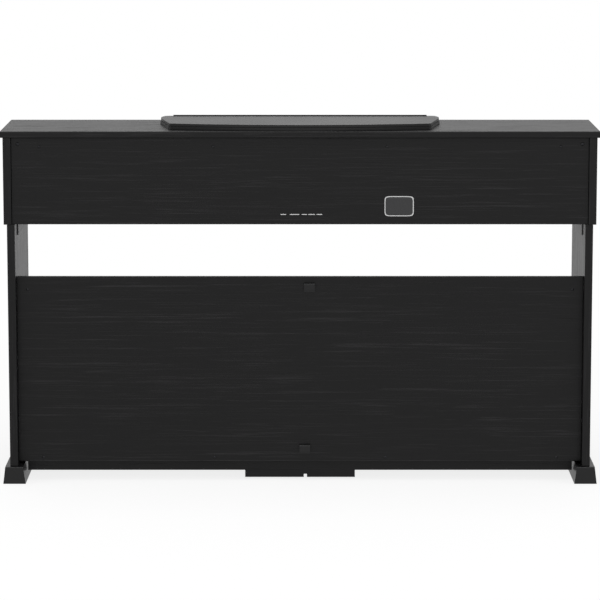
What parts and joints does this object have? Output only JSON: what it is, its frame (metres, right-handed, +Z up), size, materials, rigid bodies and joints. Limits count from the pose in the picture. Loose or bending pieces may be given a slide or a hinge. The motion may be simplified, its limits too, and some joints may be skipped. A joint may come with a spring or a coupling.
{
  "type": "digital piano",
  "caption": "Console digital piano: black wood-grain case and panel stand, hinged keys, folding music rest, sprung pedals, knob and buttons.",
  "frame": {"origin": "on the floor, at the middle of the piano's outline seen from above", "axes": "+X to the treble end, as the player sees it; +Y from the player to the back of the case; +Z up"},
  "size_m": [1.384, 0.455, 0.8433],
  "materials": {
    "laminate": "near-black embossed wood-grain laminate, satin",
    "foot_plastic": "satin black",
    "black_plastic": "fine-grained black",
    "control_plastic": "satin dark grey",
    "natural_key": "polished ivory white",
    "sharp_key": "satin black",
    "chassis_plastic": "moulded grey",
    "circuit_board": "green solder mask",
    "speaker_cone": "matt black",
    "black_steel": "black powder coat",
    "steel": "bright zinc",
    "pedal_brass": "polished"
  },
  "bodies": {
    "cabinet": {"top_board": "laminate", "case_side_left": "laminate", "case_side_right": "laminate", "case_back_panel": "laminate", "case_bottom_board": "laminate", "key_slip": "laminate", "key_block_left": "laminate", "key_block_right": "laminate", "control_panel": "black_plastic", "keybed_chassis": "chassis_plastic", "key_contact_board": "circuit_board", "main_board": "circuit_board", "speaker_left": "speaker_cone", "speaker_right": "speaker_cone", "speaker_grille_left": "black_steel", "speaker_grille_right": "black_steel", "jack_panel": "black_plastic", "headphone_box": "black_plastic", "leg_left": "laminate", "leg_right": "laminate", "foot_left": "foot_plastic", "foot_right": "foot_plastic", "lower_back_panel": "laminate", "pedal_crossbeam": "laminate", "leg_bracket_left": "black_steel", "leg_bracket_right": "black_steel", "cable_clip_upper": "black_plastic", "cable_clip_lower": "black_plastic", "rest_hinge_rail": "black_steel", "pedal_base_board": "laminate", "pedal_box_cover": "black_plastic", "pedal_shaft": "steel", "pedal_spring_plate": "steel"},
    "music_rest": {"music_rest_plate": "black_plastic", "music_rest_shell": "black_plastic"},
    "rest_prop": {"rest_prop": "steel"},
    "volume_knob": {"volume_knob": "control_plastic"},
    "power_button": {"power_button": "control_plastic"},
    "function_button": {"function_button": "control_plastic"},
    "metronome_button": {"metronome_button": "control_plastic"},
    "naturals_bass": {"naturals_bass": "natural_key"},
    "sharps_bass": {"sharps_bass": "sharp_key"},
    "key_c4": {"key_c4": "natural_key"},
    "key_c_sharp4": {"key_c_sharp4": "sharp_key"},
    "key_d4": {"key_d4": "natural_key"},
    "key_d_sharp4": {"key_d_sharp4": "sharp_key"},
    "key_e4": {"key_e4": "natural_key"},
    "key_f4": {"key_f4": "natural_key"},
    "key_f_sharp4": {"key_f_sharp4": "sharp_key"},
    "key_g4": {"key_g4": "natural_key"},
    "key_g_sharp4": {"key_g_sharp4": "sharp_key"},
    "key_a4": {"key_a4": "natural_key"},
    "key_a_sharp4": {"key_a_sharp4": "sharp_key"},
    "key_b4": {"key_b4": "natural_key"},
    "naturals_treble": {"naturals_treble": "natural_key"},
    "sharps_treble": {"sharps_treble": "sharp_key"},
    "pedal_left": {"pedal_left": "pedal_brass"},
    "pedal_middle": {"pedal_middle": "pedal_brass"},
    "pedal_right": {"pedal_right": "pedal_brass"},
    "box_adjuster": {"box_adjuster": "black_plastic"}
  },
  "joints": [
    {"name": "music_rest_tilt", "type": "hinge", "parent": "cabinet", "child": "music_rest", "pos_m": [0, 0.0205, 0.8328], "axis": [1, 0, 0], "range_deg": [0, 72]},
    {"name": "rest_prop_fold", "type": "hinge", "parent": "music_rest", "child": "rest_prop", "pos_m": [0, 0.1105, 0.8305], "axis": [1, 0, 0], "range_deg": [-144, 0]},
    {"name": "volume_turn", "type": "hinge", "parent": "cabinet", "child": "volume_knob", "pos_m": [-0.56, -0.044, 0.77585], "axis": [0, -0.9315, 0.3638], "range_deg": [-150, 150]},
    {"name": "power_press", "type": "slide", "parent": "cabinet", "child": "power_button", "axis": [0, 0.9315, -0.3638], "range_m": [0, 0.0012], "stiffness_N_per_m": 400, "springref_m": -0.0015},
    {"name": "function_press", "type": "slide", "parent": "cabinet", "child": "function_button", "axis": [0, 0.9315, -0.3638], "range_m": [0, 0.0012], "stiffness_N_per_m": 400, "springref_m": -0.0015},
    {"name": "metronome_press", "type": "slide", "parent": "cabinet", "child": "metronome_button", "axis": [0, 0.9315, -0.3638], "range_m": [0, 0.0012], "stiffness_N_per_m": 400, "springref_m": -0.0015},
    {"name": "naturals_bass_press", "type": "hinge", "parent": "cabinet", "child": "naturals_bass", "pos_m": [0, 0.02, 0.6995], "axis": [1, 0, 0], "range_deg": [0, 2.5], "stiffness_Nm_per_rad": 57.5, "springref_deg": -5.73},
    {"name": "sharps_bass_press", "type": "hinge", "parent": "cabinet", "child": "sharps_bass", "pos_m": [0, 0.02, 0.6995], "axis": [1, 0, 0], "range_deg": [0, 2.5], "stiffness_Nm_per_rad": 24, "springref_deg": -5.73},
    {"name": "key_c4_press", "type": "hinge", "parent": "cabinet", "child": "key_c4", "pos_m": [0, 0.02, 0.6995], "axis": [1, 0, 0], "range_deg": [0, 2.5], "stiffness_Nm_per_rad": 2.5, "springref_deg": -5.73},
    {"name": "key_c_sharp4_press", "type": "hinge", "parent": "cabinet", "child": "key_c_sharp4", "pos_m": [0, 0.02, 0.6995], "axis": [1, 0, 0], "range_deg": [0, 2.5], "stiffness_Nm_per_rad": 1.5, "springref_deg": -5.73},
    {"name": "key_d4_press", "type": "hinge", "parent": "cabinet", "child": "key_d4", "pos_m": [0, 0.02, 0.6995], "axis": [1, 0, 0], "range_deg": [0, 2.5], "stiffness_Nm_per_rad": 2.5, "springref_deg": -5.73},
    {"name": "key_d_sharp4_press", "type": "hinge", "parent": "cabinet", "child": "key_d_sharp4", "pos_m": [0, 0.02, 0.6995], "axis": [1, 0, 0], "range_deg": [0, 2.5], "stiffness_Nm_per_rad": 1.5, "springref_deg": -5.73},
    {"name": "key_e4_press", "type": "hinge", "parent": "cabinet", "child": "key_e4", "pos_m": [0, 0.02, 0.6995], "axis": [1, 0, 0], "range_deg": [0, 2.5], "stiffness_Nm_per_rad": 2.5, "springref_deg": -5.73},
    {"name": "key_f4_press", "type": "hinge", "parent": "cabinet", "child": "key_f4", "pos_m": [0, 0.02, 0.6995], "axis": [1, 0, 0], "range_deg": [0, 2.5], "stiffness_Nm_per_rad": 2.5, "springref_deg": -5.73},
    {"name": "key_f_sharp4_press", "type": "hinge", "parent": "cabinet", "child": "key_f_sharp4", "pos_m": [0, 0.02, 0.6995], "axis": [1, 0, 0], "range_deg": [0, 2.5], "stiffness_Nm_per_rad": 1.5, "springref_deg": -5.73},
    {"name": "key_g4_press", "type": "hinge", "parent": "cabinet", "child": "key_g4", "pos_m": [0, 0.02, 0.6995], "axis": [1, 0, 0], "range_deg": [0, 2.5], "stiffness_Nm_per_rad": 2.5, "springref_deg": -5.73},
    {"name": "key_g_sharp4_press", "type": "hinge", "parent": "cabinet", "child": "key_g_sharp4", "pos_m": [0, 0.02, 0.6995], "axis": [1, 0, 0], "range_deg": [0, 2.5], "stiffness_Nm_per_rad": 1.5, "springref_deg": -5.73},
    {"name": "key_a4_press", "type": "hinge", "parent": "cabinet", "child": "key_a4", "pos_m": [0, 0.02, 0.6995], "axis": [1, 0, 0], "range_deg": [0, 2.5], "stiffness_Nm_per_rad": 2.5, "springref_deg": -5.73},
    {"name": "key_a_sharp4_press", "type": "hinge", "parent": "cabinet", "child": "key_a_sharp4", "pos_m": [0, 0.02, 0.6995], "axis": [1, 0, 0], "range_deg": [0, 2.5], "stiffness_Nm_per_rad": 1.5, "springref_deg": -5.73},
    {"name": "key_b4_press", "type": "hinge", "parent": "cabinet", "child": "key_b4", "pos_m": [0, 0.02, 0.6995], "axis": [1, 0, 0], "range_deg": [0, 2.5], "stiffness_Nm_per_rad": 2.5, "springref_deg": -5.73},
    {"name": "naturals_treble_press", "type": "hinge", "parent": "cabinet", "child": "naturals_treble", "pos_m": [0, 0.02, 0.6995], "axis": [1, 0, 0], "range_deg": [0, 2.5], "stiffness_Nm_per_rad": 55, "springref_deg": -5.73},
    {"name": "sharps_treble_press", "type": "hinge", "parent": "cabinet", "child": "sharps_treble", "pos_m": [0, 0.02, 0.6995], "axis": [1, 0, 0], "range_deg": [0, 2.5], "stiffness_Nm_per_rad": 22.5, "springref_deg": -5.73},
    {"name": "pedal_left_press", "type": "hinge", "parent": "cabinet", "child": "pedal_left", "pos_m": [-0.068, 0.125, 0.05], "axis": [1, 0, 0], "range_deg": [0, 5.5], "stiffness_Nm_per_rad": 20, "springref_deg": -5.73, "deforming": ["pedal_spring_plate"]},
    {"name": "pedal_middle_press", "type": "hinge", "parent": "cabinet", "child": "pedal_middle", "pos_m": [0, 0.125, 0.05], "axis": [1, 0, 0], "range_deg": [0, 5.5], "stiffness_Nm_per_rad": 20, "springref_deg": -5.73, "deforming": ["pedal_spring_plate"]},
    {"name": "pedal_right_press", "type": "hinge", "parent": "cabinet", "child": "pedal_right", "pos_m": [0.068, 0.125, 0.05], "axis": [1, 0, 0], "range_deg": [0, 5.5], "stiffness_Nm_per_rad": 20, "springref_deg": -5.73, "deforming": ["pedal_spring_plate"]},
    {"name": "adjuster_climb", "type": "slide", "parent": "cabinet", "child": "box_adjuster", "axis": [0, 0, 1], "range_m": [0, 0.006]}
  ],
  "couplings": [
    {"joint": "rest_prop_fold", "follows": "music_rest_tilt", "ratio": -2}
  ]
}
